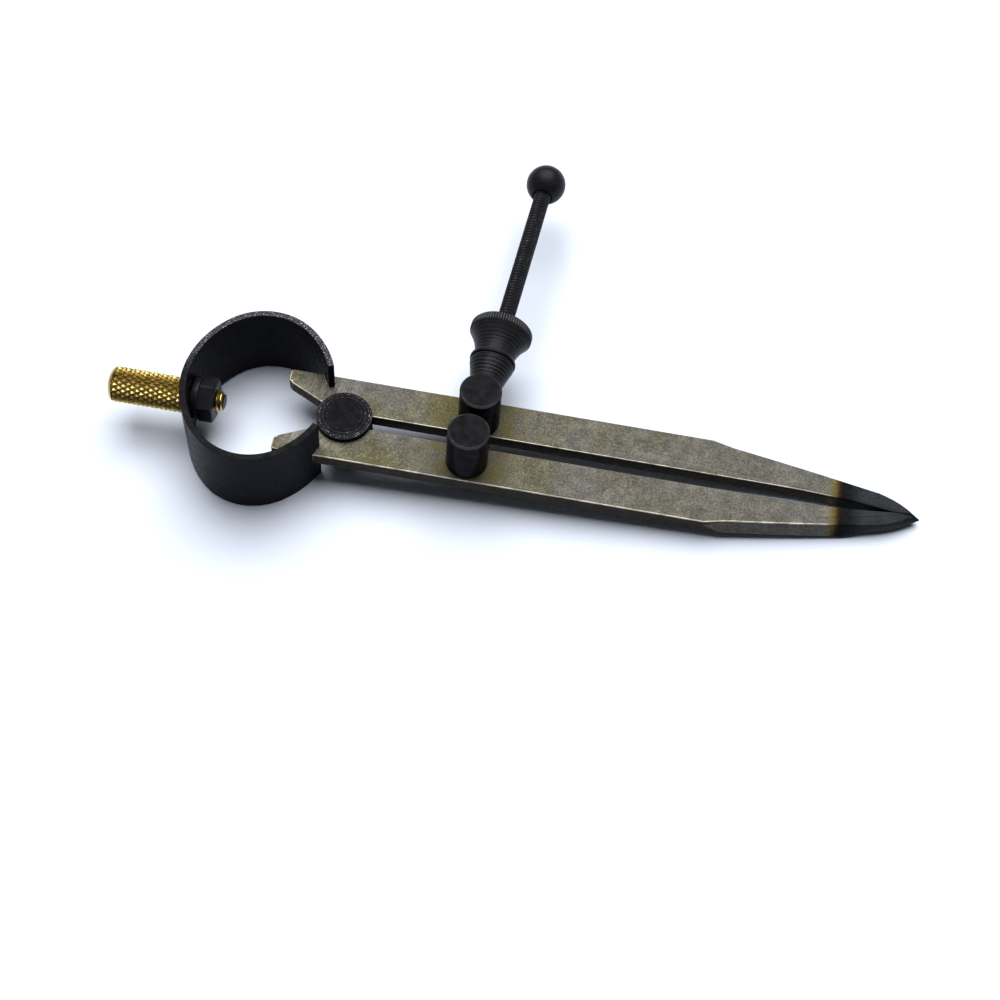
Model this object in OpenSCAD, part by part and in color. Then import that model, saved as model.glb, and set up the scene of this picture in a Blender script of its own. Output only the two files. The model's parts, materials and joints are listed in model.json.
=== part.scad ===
// Compass divider with a bow spring: two flat steel legs turn on a fulcrum
// roller, the bow pushes them open, and a knurled nut on a cross screw sets
// the distance between their points. It is drawn closed, lying flat.

/* [Legs] */
// Fulcrum axis to the point
leg_len = 80.3; // [70:0.1:100]
// Width of the bar
leg_w = 5.6; // [5:0.1:7]
// Thickness of the bar
leg_t = 2.1; // [1.6:0.1:2.8]
// Gap between the two bars when closed
leg_gap = 2.1; // [1.6:0.1:2.8]
// Fulcrum axis to the start of the ground taper
taper_start = 51; // [44:0.5:56]
// How far inside the bar's edge the taper would start, on the upper face
taper_step = 0.3; // [0.1:0.05:0.6]
// How much steeper the run from the bar's edge down to the taper is
ramp_turn = 4; // [3:0.5:8]
// Radius of the taper, seen from above
taper_r = 600; // [300:10:900]
// Half width that the taper's line keeps at the point
taper_end = 1.5; // [1:0.05:2]
// How much wider the taper is at the lower face
taper_bevel = 0.7; // [0.2:0.05:1]
// Half angle at the tip of the round point that the closed legs make
point_angle = 36; // [32:0.5:40]
// Radius of the point's rounded side
point_side_r = 17; // [14:0.5:22]
// Length of the rounded side
point_len = 7; // [5:0.1:9]
// Half angle of the grinding's runout behind it
runout_angle = 20; // [16:0.5:24]
// Radius of the point itself
point_r = 0.05; // [0.02:0.01:0.2]
// Fulcrum axis to where the inner edges start to close in
close_start = 60; // [54:0.5:64]
// Length of the faces that meet behind the points
meet_len = 3.8; // [2:0.1:6]
// Gap between those faces when closed
meet_gap = 0.04; // [0.02:0.01:0.1]
// Fulcrum axis to the end of a horn
horn_len = 8.9; // [7.5:0.1:9.5]
// Width of a horn at its end
horn_w = 2; // [1.6:0.1:2.4]
// Slope of a horn's inner edge
horn_angle = 26; // [22:0.5:28]
// Rounding of a horn's end
horn_r = 0.4; // [0.2:0.05:0.7]

/* [Fulcrum] */
// Diameter of the flanges
flange_d = 7.8; // [7:0.1:8.4]
// Thickness of a flange
flange_t = 1; // [0.7:0.1:1.5]
// Chamfer of a flange's rim
flange_edge = 0.2; // [0.1:0.05:0.3]
// Diameter of the waist that the legs turn on
waist_d = 5.2; // [4.6:0.1:5.6]

/* [Bow spring] */
// Width of the strip
strip_w = 12.4; // [10:0.1:15]
// Thickness of the strip
strip_t = 0.9; // [0.7:0.05:1.2]
// Outer radius of the bow's back
back_r = 13.4; // [12:0.1:16]
// Half angle of the back
back_angle = 48; // [40:0.5:54]
// Outer radius of the bow's sides
side_r = 9; // [8.5:0.1:10]
// Angle that each side turns through
side_angle = 80; // [74:0.5:86]
// Outer radius of the bow's ends
end_r = 13.4; // [12:0.1:20]
// Fulcrum axis to the strip, measured back along a leg's outer edge
hook_back = 3.2; // [2.8:0.1:4]
// How far the strip reaches into a leg's edge
hook_depth = 1; // [0.7:0.05:1.4]
// How far the prongs reach on past the bottom of the leg's notch
prong_len = 0.9; // [0.5:0.05:1.2]

/* [Handle] */
// Diameter over the knurl
grip_d = 5.1; // [4.6:0.1:5.6]
// Length of the grip
grip_len = 10.8; // [8:0.1:14]
// Chamfer of the grip's ends
grip_edge = 0.5; // [0.2:0.05:0.8]
// Diameter of the threaded shank
shank_d = 3; // [2.6:0.1:3.2]
// Length of the shank
shank_len = 5.5; // [5:0.1:7]
// Width of the shank's nut across its flats
hex_w = 5.5; // [5:0.1:6]
// Thickness of the shank's nut
hex_t = 2.2; // [2:0.1:2.8]
// Diameter of the split lock washer under the nut
lock_d = 6; // [5.4:0.1:6.4]
// Thickness of the lock washer
lock_t = 0.8; // [0.6:0.05:1]
// Width of its split
lock_split = 0.4; // [0.2:0.05:0.8]

/* [Posts] */
// Diameter of a post
post_d = 5.8; // [5.4:0.1:6.2]
// Height of a post over the leg
post_h = 7.6; // [6.6:0.1:8.5]
// Chamfer of a post's top
post_edge = 0.25; // [0.1:0.05:0.4]
// Fulcrum axis to the posts, along the legs
post_x = 18.06; // [15:0.02:22]
// How far the posts stand inside the middle lines of the bars
post_in = 0.48; // [0:0.02:0.6]
// How much further out the far post stands than the near one
post_skew = 0.5; // [0:0.1:0.8]
// Diameter of the tenon that turns in the leg
tenon_d = 3.5; // [3:0.1:3.8]
// Diameter of the tenon's riveted head under the leg
rivet_d = 4.8; // [4.4:0.1:5.2]
// Thickness of the riveted head
rivet_t = 0.6; // [0.4:0.1:0.9]

/* [Cross screw] */
// Mean diameter of the thread
screw_d = 2.2; // [2:0.1:2.4]
// Height of the screw's axis over the legs
screw_h = 4.1; // [3.8:0.1:4.4]
// Near post's axis to the middle of the ball
ball_at = 47.1; // [44:0.1:56]
// Diameter of the ball
ball_d = 5.8; // [5:0.1:6.4]
// Diameter of the ball's countersink
ball_sink_d = 3.2; // [2.8:0.1:3.6]
// Wall left behind the screw in the near post
blind_wall = 1; // [0.7:0.1:1.3]

/* [Adjusting nut] */
// Diameter of the knurled rim
rim_d = 8.9; // [8:0.1:10]
// Thickness of the rim
rim_t = 1.3; // [1:0.1:1.8]
// Chamfer of the rim's edges
rim_edge = 0.2; // [0.1:0.05:0.3]
// Length of the flare between rim and foot
flare_len = 4; // [3.4:0.1:6]
// Diameter of the flare's foot
flare_d = 5.6; // [5.2:0.1:6]
// Radius of the flare's hollow
flare_r = 7; // [5:0.5:30]
// Diameter of the foot collar
foot_d = 6.5; // [6:0.1:7]
// Thickness of the foot collar
foot_t = 0.7; // [0.3:0.05:0.9]

/* [Seat washer] */
// Diameter of the wide end
seat_d = 6.2; // [5.6:0.1:6.5]
// Diameter of the nose in the far post
nose_d = 4.2; // [3.8:0.1:4.6]
// Length outside the post
seat_len = 4; // [3:0.1:5]
// Length of the wide end's straight edge
seat_edge = 0.5; // [0.3:0.05:0.8]
// Depth of the nose's seat in the post
seat_depth = 1; // [0.9:0.05:1.2]

/* [Clearances] */
// Radial and face clearance of the turning fits
run_clear = 0.05; // [0.02:0.01:0.1]
// Clearance of the fixed threads
thread_clear = 0.01; // [0.01:0.01:0.03]
// Radial clearance of the nut on the screw
nut_clear = 0.19; // [0.18:0.01:0.25]
// Radial clearance of the screw in the far post and the seat washer
guide_clear = 0.3; // [0.25:0.01:0.4]

/* [Hidden] */
$fn = 96;

steel = "#8a8678";
black = "#26272b";
brass = "#b8954a";

// A leg lies on the +Y side before it is mirrored; its outer edge and middle line
leg_out = leg_gap / 2 + leg_w;
leg_mid = leg_gap / 2 + leg_w / 2;

// The taper's circle runs from inside the bar's edge to beside the point
taper_from = [taper_start, leg_out - taper_step];
taper_to = [leg_len, taper_end];
taper_chord = norm(taper_to - taper_from);
taper_dir = (taper_to - taper_from) / taper_chord;
taper_drop = sqrt(taper_r * taper_r - taper_chord * taper_chord / 4);
taper_c = (taper_from + taper_to) / 2 + taper_drop * [taper_dir.y, -taper_dir.x];

// The run down to the taper, long enough to end inside it
ramp_angle = atan2(-taper_dir.y, taper_dir.x) + ramp_turn;
ramp_drop = 6 * taper_step;
ramp_len = ramp_drop / tan(ramp_angle);

// The inner edge's circle leaves the gap smoothly and ends where the faces meet
close_run = leg_len - meet_len - close_start;
close_in = (leg_gap - meet_gap) / 2;
close_r = (close_run * close_run + close_in * close_in) / (2 * close_in);

// The bow's outer face is three arcs that run smoothly into each other: back, side and end.
// Directions are counted from the back, and the end meets the leg's outer edge at the hook.
function toward(turn) = [-cos(turn), sin(turn)];
end_from = back_angle + side_angle;
end_y = (back_r - side_r) * sin(back_angle) - (end_r - side_r) * sin(end_from);
hook_turn = 180 - asin((leg_out - end_y) / end_r);
crotch_turn = hook_turn + hook_depth / end_r * 180 / PI;
end_turn = crotch_turn + prong_len / end_r * 180 / PI;
end_c = [-hook_back + end_r * cos(hook_turn), end_y];
side_c = end_c + (end_r - side_r) * toward(end_from);
back_c = side_c - (back_r - side_r) * toward(back_angle);
bow_x = back_c.x - back_r;
bow_y = side_c.y + side_r;

// The lock washer touches the curved wall at its sides, and the shank's nut holds it there
wall_r = back_r - strip_t;
lock_x = back_c.x - sqrt(wall_r * wall_r - lock_d * lock_d / 4) + thread_clear;
hex_x = lock_x + lock_t + thread_clear;

// The screw's line runs through both post axes
post_y = leg_mid - post_in;
near_x = post_x - post_skew / 2;
far_x = post_x + post_skew / 2;
post_gap = norm([post_skew, 2 * post_y]);
screw_lean = atan2(post_skew, 2 * post_y);
screw_z = leg_t / 2 + screw_h;
blind_at = blind_wall - post_d / 2;
seat_at = post_gap + post_d / 2 - seat_depth;
nut_at = post_gap + post_d / 2 + seat_len;
nut_len = foot_t + flare_len + rim_t;

// Middle of the outline and its lowest edge, which become the origin
x_low = bow_x - grip_len;
x_mid = (x_low + leg_len) / 2;
y_high = ball_at * cos(screw_lean) + ball_d / 2 - post_y;
y_mid = (y_high - bow_y) / 2;

module place() {
  translate([-x_mid, -y_mid, strip_w / 2]) children();
}

// From an upright shape to one that stands on the screw's axis at a distance from the near post
module on_screw(at) {
  translate([near_x, -post_y, screw_z])
    rotate([0, 0, -screw_lean])
      rotate([-90, 0, 0])
        translate([0, 0, at]) children();
}

// A round corner's waste, for the corner at the origin of the quadrant
module corner_waste(r) {
  difference() {
    translate([-1, -1]) square([r + 1, r + 1]);
    translate([r, r]) circle(r);
  }
}

// The strip's track through a leg's edge
module hook_notch() {
  reach = 2 * end_r;
  clear_turn = run_clear / end_r * 180 / PI;
  translate(end_c) intersection() {
    difference() {
      circle(end_r + run_clear, $fn = 360);
      circle(end_r - strip_t - run_clear, $fn = 360);
    }
    polygon([[0, 0], reach * toward(end_from), reach * toward(crotch_turn + clear_turn)]);
  }
}

module leg_outline(post_at) {
  horn_in = leg_out - horn_w;
  difference() {
    translate([-horn_len, meet_gap / 2])
      square([horn_len + leg_len, leg_out - meet_gap / 2]);
    translate([0, -leg_gap]) square([close_start, leg_gap * 1.5]);
    translate([close_start, leg_gap / 2 - close_r]) circle(close_r, $fn = 720);
    circle(d = waist_d + 2 * run_clear);
    polygon([
      [-horn_len - 1, horn_in + tan(horn_angle)],
      [0, horn_in - horn_len * tan(horn_angle)],
      [0, -leg_gap],
      [-horn_len - 1, -leg_gap]
    ]);
    translate([-horn_len, horn_in]) corner_waste(horn_r);
    translate([-horn_len, leg_out]) mirror([0, 1]) corner_waste(horn_r);
    hook_notch();
    translate([post_at, post_y]) circle(d = tenon_d + 2 * run_clear);
  }
}

// The round point's outline on one side of its axis, from the tip back
module point_outline() {
  reach = leg_len + horn_len + 1;
  side_x = point_r - point_side_r * cos(point_angle);
  side_y = point_side_r * sin(point_angle);
  wide = side_x + sqrt(point_side_r * point_side_r - (point_len - side_y) * (point_len - side_y));
  intersection() {
    translate([side_x, side_y]) circle(point_side_r, $fn = 360);
    square([point_side_r, point_len]);
  }
  polygon([
    [0, point_len],
    [wide, point_len],
    [wide + (reach - point_len) * tan(runout_angle), reach],
    [0, reach]
  ]);
}

// What the grinding leaves of a leg: the bar and the bevelled taper, as far as the round point
module leg_envelope() {
  intersection() {
    union() {
      translate([0, 0, -leg_t])
        linear_extrude(2 * leg_t)
          polygon([
            [-horn_len - 1, -1],
            [taper_start + ramp_len, -1],
            [taper_start + ramp_len, leg_out - ramp_drop],
            [taper_start - ramp_len, leg_out + ramp_drop],
            [-horn_len - 1, leg_out + ramp_drop]
          ]);
      translate([taper_c.x, taper_c.y, -leg_t / 2])
        cylinder(h = leg_t, r1 = taper_r + taper_bevel, r2 = taper_r, $fn = 720);
    }
    translate([leg_len, 0, 0])
      rotate([0, -90, 0])
        rotate_extrude() point_outline();
  }
}

module leg(post_at) {
  intersection() {
    translate([0, 0, -leg_t / 2]) linear_extrude(leg_t) leg_outline(post_at);
    leg_envelope();
  }
}

module near_leg() {
  color(steel) place() mirror([0, 1, 0]) leg(near_x);
}

module far_leg() {
  color(steel) place() leg(far_x);
}

module fulcrum_roller() {
  low = leg_t / 2 + run_clear;
  high = low + flange_t;
  flange_r = flange_d / 2;
  color(black) place() rotate_extrude()
    polygon([
      [0, -high],
      [flange_r - flange_edge, -high],
      [flange_r, flange_edge - high],
      [flange_r, -low],
      [waist_d / 2, -low],
      [waist_d / 2, low],
      [flange_r, low],
      [flange_r, high - flange_edge],
      [flange_r - flange_edge, high],
      [0, high]
    ]);
}

// A bent length of the strip about a centre, from one direction on through a turn. It is set
// down in two moves, hundredths of a millimetre first, so that neighbouring lengths meet exactly.
module bend(c, r, from, turn) {
  coarse = [round(c.x * 100) / 100, round(c.y * 100) / 100, 0];
  translate(coarse)
    translate([c.x, c.y, 0] - coarse)
      rotate_extrude(angle = turn, start = 180 - from, $fn = 180)
        translate([r - strip_t, -strip_w / 2]) square([strip_t, strip_w]);
}

// The gap between an end's prongs, which straddle the leg
module fork_gap() {
  translate([end_c.x, end_c.y, -leg_t / 2 - run_clear])
    linear_extrude(leg_t + 2 * run_clear)
      polygon([[0, 0], 2 * end_r * toward(crotch_turn), 2 * end_r * toward(180)]);
}

module bow_spring() {
  color(black) place() difference() {
    union() {
      bend(back_c, back_r, back_angle, 2 * back_angle);
      for (side = [0, 1])
        mirror([0, side, 0]) {
          bend(side_c, side_r, back_angle, -side_angle);
          bend(end_c, end_r, end_from, end_from - end_turn);
        }
    }
    for (side = [0, 1])
      mirror([0, side, 0]) fork_gap();
    translate([bow_x - strip_t, 0, 0])
      rotate([0, 90, 0])
        cylinder(h = 3 * strip_t, d = shank_d + 2 * run_clear);
  }
}

module handle() {
  grip_r = grip_d / 2;
  color(brass) place() translate([bow_x, 0, 0]) rotate([0, 90, 0]) rotate_extrude()
    polygon([
      [0, -grip_len],
      [grip_r - grip_edge, -grip_len],
      [grip_r, grip_edge - grip_len],
      [grip_r, -grip_edge],
      [grip_r - grip_edge, 0],
      [shank_d / 2, 0],
      [shank_d / 2, shank_len],
      [0, shank_len]
    ]);
}

module handle_nut() {
  color(black) place() translate([hex_x, 0, 0]) rotate([0, 90, 0])
    difference() {
      cylinder(h = hex_t, d = hex_w / cos(30), $fn = 6);
      translate([0, 0, -1]) cylinder(h = hex_t + 2, d = shank_d + 2 * thread_clear);
    }
}

module lock_washer() {
  color(black) place() translate([lock_x, 0, 0]) rotate([0, 90, 0])
    difference() {
      cylinder(h = lock_t, d = lock_d);
      translate([0, 0, -1]) cylinder(h = lock_t + 2, d = shank_d + 2 * run_clear);
      rotate([0, 0, 120])
        translate([0, -lock_split / 2, -1]) cube([lock_d, lock_split, lock_t + 2]);
    }
}

// A post with its tenon and riveted head, standing on a leg
module post_body() {
  post_r = post_d / 2;
  foot = leg_t / 2 + run_clear;
  top = leg_t / 2 + post_h;
  rotate_extrude()
    polygon([
      [0, -foot - rivet_t],
      [rivet_d / 2, -foot - rivet_t],
      [rivet_d / 2, -foot],
      [tenon_d / 2, -foot],
      [tenon_d / 2, foot],
      [post_r, foot],
      [post_r, top - post_edge],
      [post_r - post_edge, top],
      [0, top]
    ]);
}

module near_post() {
  color(black) place() difference() {
    translate([near_x, -post_y, 0]) post_body();
    on_screw(blind_at) cylinder(h = post_d, d = screw_d + 2 * thread_clear);
  }
}

module far_post() {
  color(black) place() difference() {
    translate([far_x, post_y, 0]) post_body();
    on_screw(post_gap - post_d) cylinder(h = 2 * post_d, d = screw_d + 2 * guide_clear);
    on_screw(seat_at) cylinder(h = post_d, d = nose_d + 2 * run_clear);
  }
}

module adjusting_screw() {
  color(black) place() on_screw(blind_at) cylinder(h = ball_at - blind_at, d = screw_d);
}

module screw_ball() {
  sink_at = sqrt(ball_d * ball_d - ball_sink_d * ball_sink_d) / 2;
  sink_t = (ball_sink_d - screw_d) / 2;
  color(black) place() on_screw(ball_at) difference() {
    sphere(d = ball_d);
    translate([0, 0, -ball_d]) cylinder(h = ball_d, d = screw_d + 2 * thread_clear);
    translate([0, 0, -sink_at]) cylinder(h = sink_t, d1 = ball_sink_d, d2 = screw_d);
    translate([0, 0, -ball_d - sink_at]) cylinder(h = ball_d, d = ball_sink_d);
  }
}

// The nut's outline on one side of its axis, from the foot up
module nut_outline() {
  rim_r = rim_d / 2;
  flare_top = foot_t + flare_len;
  lip_r = rim_r - rim_edge;
  bore_r = screw_d / 2 + nut_clear;
  flare_low = [flare_d / 2, foot_t];
  flare_high = [lip_r, flare_top];
  chord = norm(flare_high - flare_low);
  dir = (flare_high - flare_low) / chord;
  hollow = sqrt(flare_r * flare_r - chord * chord / 4);
  hollow_c = (flare_low + flare_high) / 2 + hollow * [dir.y, -dir.x];
  translate([bore_r, 0]) square([foot_d / 2 - bore_r, foot_t]);
  difference() {
    polygon([[bore_r, foot_t], flare_low, flare_high, [bore_r, flare_top]]);
    translate(hollow_c) circle(flare_r, $fn = 360);
  }
  polygon([
    [bore_r, flare_top],
    [lip_r, flare_top],
    [rim_r, flare_top + rim_edge],
    [rim_r, nut_len - rim_edge],
    [lip_r, nut_len],
    [bore_r, nut_len]
  ]);
}

module adjusting_nut() {
  color(black) place() on_screw(nut_at) rotate_extrude() nut_outline();
}

module seat_washer() {
  bore_r = screw_d / 2 + guide_clear;
  color(black) place() on_screw(seat_at) rotate_extrude()
    polygon([
      [bore_r, 0],
      [nose_d / 2, 0],
      [nose_d / 2, seat_depth],
      [seat_d / 2, seat_depth + seat_len - seat_edge],
      [seat_d / 2, seat_depth + seat_len],
      [bore_r, seat_depth + seat_len]
    ]);
}

near_leg();
far_leg();
fulcrum_roller();
bow_spring();
handle();
handle_nut();
lock_washer();
near_post();
far_post();
adjusting_screw();
screw_ball();
adjusting_nut();
seat_washer();
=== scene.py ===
"""Looks of a compass divider: ground steel legs, black bow spring, black turned fittings, a brass handle.

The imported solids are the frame. Each piece below stands for one solid, or for half of the bow, and moves
with its body. Lengths named in capitals are millimetres unless a comment says otherwise, and meshes are
metres in the frame's own axes: +X runs along the legs to their points, +Y along the cross screw to its ball,
and +Z points away from the floor.
"""

import json
import math

import bmesh
import bpy
from mathutils import Matrix, Vector
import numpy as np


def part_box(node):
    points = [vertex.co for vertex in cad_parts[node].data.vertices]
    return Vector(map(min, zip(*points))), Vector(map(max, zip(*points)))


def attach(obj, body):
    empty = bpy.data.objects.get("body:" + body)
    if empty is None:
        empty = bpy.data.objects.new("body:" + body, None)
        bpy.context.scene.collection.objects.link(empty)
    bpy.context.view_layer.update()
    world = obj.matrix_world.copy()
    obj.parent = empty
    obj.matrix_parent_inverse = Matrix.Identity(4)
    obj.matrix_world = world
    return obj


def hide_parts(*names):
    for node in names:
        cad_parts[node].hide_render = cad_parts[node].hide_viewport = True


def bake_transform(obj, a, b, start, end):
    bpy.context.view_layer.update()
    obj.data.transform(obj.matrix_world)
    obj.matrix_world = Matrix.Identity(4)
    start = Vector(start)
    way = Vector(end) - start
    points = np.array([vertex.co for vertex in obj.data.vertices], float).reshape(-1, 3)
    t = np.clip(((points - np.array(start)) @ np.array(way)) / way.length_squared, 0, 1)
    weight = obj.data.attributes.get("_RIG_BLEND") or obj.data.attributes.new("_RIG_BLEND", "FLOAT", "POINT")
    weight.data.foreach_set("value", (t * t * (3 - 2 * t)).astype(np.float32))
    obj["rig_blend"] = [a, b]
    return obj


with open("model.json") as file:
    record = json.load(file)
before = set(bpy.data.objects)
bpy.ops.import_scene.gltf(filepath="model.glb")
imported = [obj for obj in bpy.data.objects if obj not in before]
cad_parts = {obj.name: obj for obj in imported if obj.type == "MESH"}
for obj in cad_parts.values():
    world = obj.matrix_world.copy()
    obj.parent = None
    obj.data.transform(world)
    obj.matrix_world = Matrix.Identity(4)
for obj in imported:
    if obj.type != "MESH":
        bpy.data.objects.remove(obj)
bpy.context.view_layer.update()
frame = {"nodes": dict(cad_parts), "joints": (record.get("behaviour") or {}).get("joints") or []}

MM = 0.001

# Camera: its place from the fulcrum, and the two directions that it is turned by
LENS = 62.73
SENSOR = 36.0
CAMERA_AT = (32.45, -126.89, 205.2)
CAMERA_LOOK = (-0.0386, 0.5008, -0.8647)
CAMERA_UP = (-0.1688, 0.8496, 0.4996)
CAMERA_CLIP = 10.0

# Light and floor: metres from the fulcrum, metres across or to each side of the floor, and watts
ROOM_COLOUR = "#e6edff"
ROOM_STRENGTH = 0.04
CEILING_AT = (0.0, 0.0, 2.2)
CEILING_SIZE = 3.0
CEILING_POWER = 2.0
SOFT_AT = (-0.08, 0.57, 1.3)
SOFT_SIZE = 1.5
SOFT_POWER = 42.0
FLOOR_REACH = 1.5
FLOOR_COLOUR = "#dfe6f4"
FLOOR_ROUGH = 0.8
FLOOR_SHINE = 0.2

# Meshes: the shortest edge kept, the longest step along a carved outline and the sides of a round piece
LEAST_EDGE = 0.002
FINE_STEP = 0.1
ROUND_SIDES = 96

# A rounded edge's steps and its bend, where 0.5 is a circle's
BEVEL_STEPS = 2
BEVEL_ROUND = 0.5

# Degrees between two faces: up to which they are one flat face, from which their edge is rounded, and from
# which it stays sharp in the shading
FLAT_WITHIN = 0.4
BEVEL_FROM = 28
BALL_BEVEL_FROM = 20
SHARP_BAR = 35
SHARP_FITTING = 30
SHARP_KNURL = 24
SHARP_THREAD = 40

# Ground legs: the rounding, the share of the edges' wear and painted highlight that is kept on edges that
# face away or down, and how far behind the points they meet the floor. A face is a side where its normal
# rises less than SIDE_RISE, and faces away where its normal points to the far side by more than AWAY
LEG_EDGE = 0.12
UNLIT_EDGE_SHARE = 0.1
POINT_LEN = 1.6
SIDE_RISE = 0.15
AWAY = 0.3

# Patterns on the legs: the sizes of their features, the grain's depth and how strongly it shows, and the
# strokes' two directions in degrees. Real grain and strokes are finer, and these are as coarse as they need
# to be to show
STAIN_SIZE = 7.0
CLOUD_SIZE = 1.6
GRAIN_SIZE = 0.3
GRAIN_DEEP = 0.02
GRAIN_SHOWS = 0.3
BRUSH_WIDTH = 0.16
BRUSH_LEN = 3.0
BRUSH_TURNS = (82, 55)

# Values of these patterns: where one direction of strokes gives way to the other, where the olive stain and
# the rubbed edges with their painted highlight start and are full, their least share, and the usual spread
STROKE_CHANGE = (0.45, 0.55)
OLIVE_NOISE = (0.4, 0.62)
RUBBED_GLINT_NOISE = (0.3, 0.6)
RUBBED_GLINT_LEAST = 0.4
USUAL_NOISE = (0.3, 0.7)

# Over the usual spread: the legs' roughness, the brightness of the heat's colours, and what is added to the
# roughness of a black skin
LEG_ROUGH = (0.7, 0.58)
HEAT_MOTTLE = (0.75, 1.3)
SKIN_ROUGH = (0.08, -0.06)

# The brushed spot: its middle along the legs from the fulcrum, how far it is full, where it ends and the
# share of brushing elsewhere. The oil round each post is full and ends so far from the post
BRUSHED_AT = -3.5
BRUSHED_TO = (5.0, 11.0)
BRUSHED_ELSEWHERE = 0.25
POST_OIL = (4.5, 11.5)

# From the fulcrum along the legs: where the olive stain is down to its least share, and where the heat's
# colours start and end, with their sway
OLIVE_TO = 65.0
OLIVE_LEAST = 0.1
TEMPER_FROM = 67.2
TEMPER_TO = 72.8
TEMPER_SWAY = 0.5

# Colours of the legs, each laid over the ones before it
LEG_GREY = "#565550"
OLIVE_STAIN = "#514c30"
PALE_CLOUD = "#646259"
DARK_CLOUD = "#3f3c30"
PALE_GRAIN = "#726f69"
DARK_GRAIN = "#393630"
BRUSH_LINE = "#83817b"
OIL_STAIN = "#423b17"
DARK_PIT = "#181612"
SIDE_SCALE = "#35302a"
# Pale rubbed edges: wear, with a painted highlight where the edges face the near side and up
RUBBED_GLINT_EDGE = "#ded8c6"

# The heat's colours, and how far they cover the steel, by the share of the way. The two ends come first
TEMPER_TINTS = (
    (0.08, "#6a654c"), (1.0, "#2b2d2f"), (0.22, "#5c5028"), (0.31, "#463617"), (0.38, "#251c15"),
    (0.45, "#151314"), (0.62, "#161618"), (0.82, "#212325"))
TEMPER_COVER = ((0.0, "#000000"), (0.36, "#ffffff"), (0.1, "#777777"), (0.22, "#e0e0e0"))

# Black skins: the size of their clouds, the values at which these have their two colours and at which a chip
# starts and is bare, and the bare metal
SKIN_SIZE = 1.2
SKIN_NOISE = (0.35, 0.7)
CHIP_NOISE = (0.62, 0.74)
BARE_STEEL = "#86858a"

# Brass: the size of its clouds, what they add to a crest, and its roughness and colours from groove to
# crest.
# The grooves are darkened for oil and as painted shade
BRASS_SIZE = 0.7
BRASS_CLOUD = 0.3
BRASS_ROUGH = (0.5, 0.34)
BRASS_OIL_AND_SHADE_TINTS = ((0.1, "#1b1405"), (1.0, "#e2d394"), (0.3, "#6c5823"), (0.65, "#b1964e"))

# Bow spring: the rounding and its wear, the rims' least and full wear and the length over which it fades
# in. Back from the fulcrum, the strip is still from BOW_STILL on and moves with a leg up to BOW_FREE. A face
# whose normal rises more than RIM_RISE is part of a rim
BOW_EDGE = 0.1
BOW_EDGE_WEAR = 0.3
RIM_RISE = 0.9
RIM_WEAR = (0.1, 1.0)
RIM_FADE = 5.0
RIM_FADE_STEPS = 10
BOW_STILL = 19.0
BOW_FREE = 4.5

# Turning rings: the steps between them, their depth, and how their wear changes from ring to ring
RING_STEP = 0.26
RING_DEEP = 0.014
RING_BEAT = 2.4

# Fulcrum roller: heights are from its middle, and the drops and steps of the rim are from its upper face
WAIST_R = 2.6
FLANGE_R = 3.9
FLANGE_LOW = 1.1
FLANGE_HIGH = 2.1
FLANGE_EDGE = 0.25
FLANGE_FLAT_R = 2.3
FLANGE_DROP = 0.2
FLANGE_BREAK = (0.08, 0.1)
FLANGE_UNDER = 0.06
FLANGE_WEAR = (0.9, 0.7, 0.6)
FACE_WEAR = (0.03, 0.87)
CENTRE_R = 0.18
CENTRE_DEEP = (0.12, 0.1)

# Handle: heights are from the bow's back, outwards along the grip and inwards along the shank
GRIP_R = 2.55
GRIP_LEN = 10.8
GRIP_FOOT = 0.3
GRIP_END_WEAR = 0.7
GRIP_FACE_WEAR = 0.5
SHANK_R = 1.5
SHANK_LEN = 5.5
SHANK_PITCH = 0.6
SHANK_DEEP = 0.28
SHANK_TIP = 0.15
SHANK_TIP_SHARE = 0.8
SHANK_CONE = 0.5
SHANK_FROM = 0.1
SHANK_BARE = 0.9
KNURL_DEEP = 0.32
KNURL_AROUND = 20
KNURL_SIDES = 8
KNURL_PITCH = 1.3
KNURL_SWAY = 0.22
KNURL_SWAY_SIZE = 2.5
KNURL_FROM = 0.15
KNURL_BARE = 0.7

# The grip's rounded end: where it starts before the end, and points as (inwards, before the end)
GRIP_EDGE = 1.0
GRIP_DOME = ((0.15, 0.55), (0.45, 0.22), (GRIP_EDGE, 0.0))

# Hexagon nut: its radius over the corners, and the cone that turns them off
HEX_R = 3.175
HEX_EDGE = 0.42
HEX_OUT = 0.2
HEX_DOWN = 0.3

# Small rounding of the posts, the ball, the spring washer and the hexagon nut. A post's face whose normal
# rises within these limits is a chamfer, which is worn a little all round, with a painted highlight added
# towards the near side
FITTING_EDGE = 0.07
CHAMFER_RISE = (0.3, 0.98)
CHAMFER_WEAR_AND_GLINT = (0.15, 0.75)

# Cross screw, from the near post's middle
THREAD_R = 1.25
THREAD_DEEP = 0.3
THREAD_PITCH = 0.5
THREAD_ROWS = 6
THREAD_SIDES = 40
SCREW_FROM = -1.9
SCREW_TO = 47.1

# The middle of a rounded edge on the nut and its washer lies in from the corner by this share of the edge
EDGE_MIDDLE = 0.3

# Seat washer: where its nose is along the screw from the near post's middle, and heights from the nose
SEAT_AT = 8.6585
SEAT_BORE_R = 1.4
NOSE_R = 2.1
NOSE_LEN = 1.0
SEAT_R = 3.1
SEAT_LEN = 5.0
SEAT_STRAIGHT = 0.5
SEAT_EDGE = 0.22
SEAT_EDGE_WEAR = 0.3
CONE_STEP = (0.06, 0.15)
CONE_WEAR = 0.6

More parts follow.
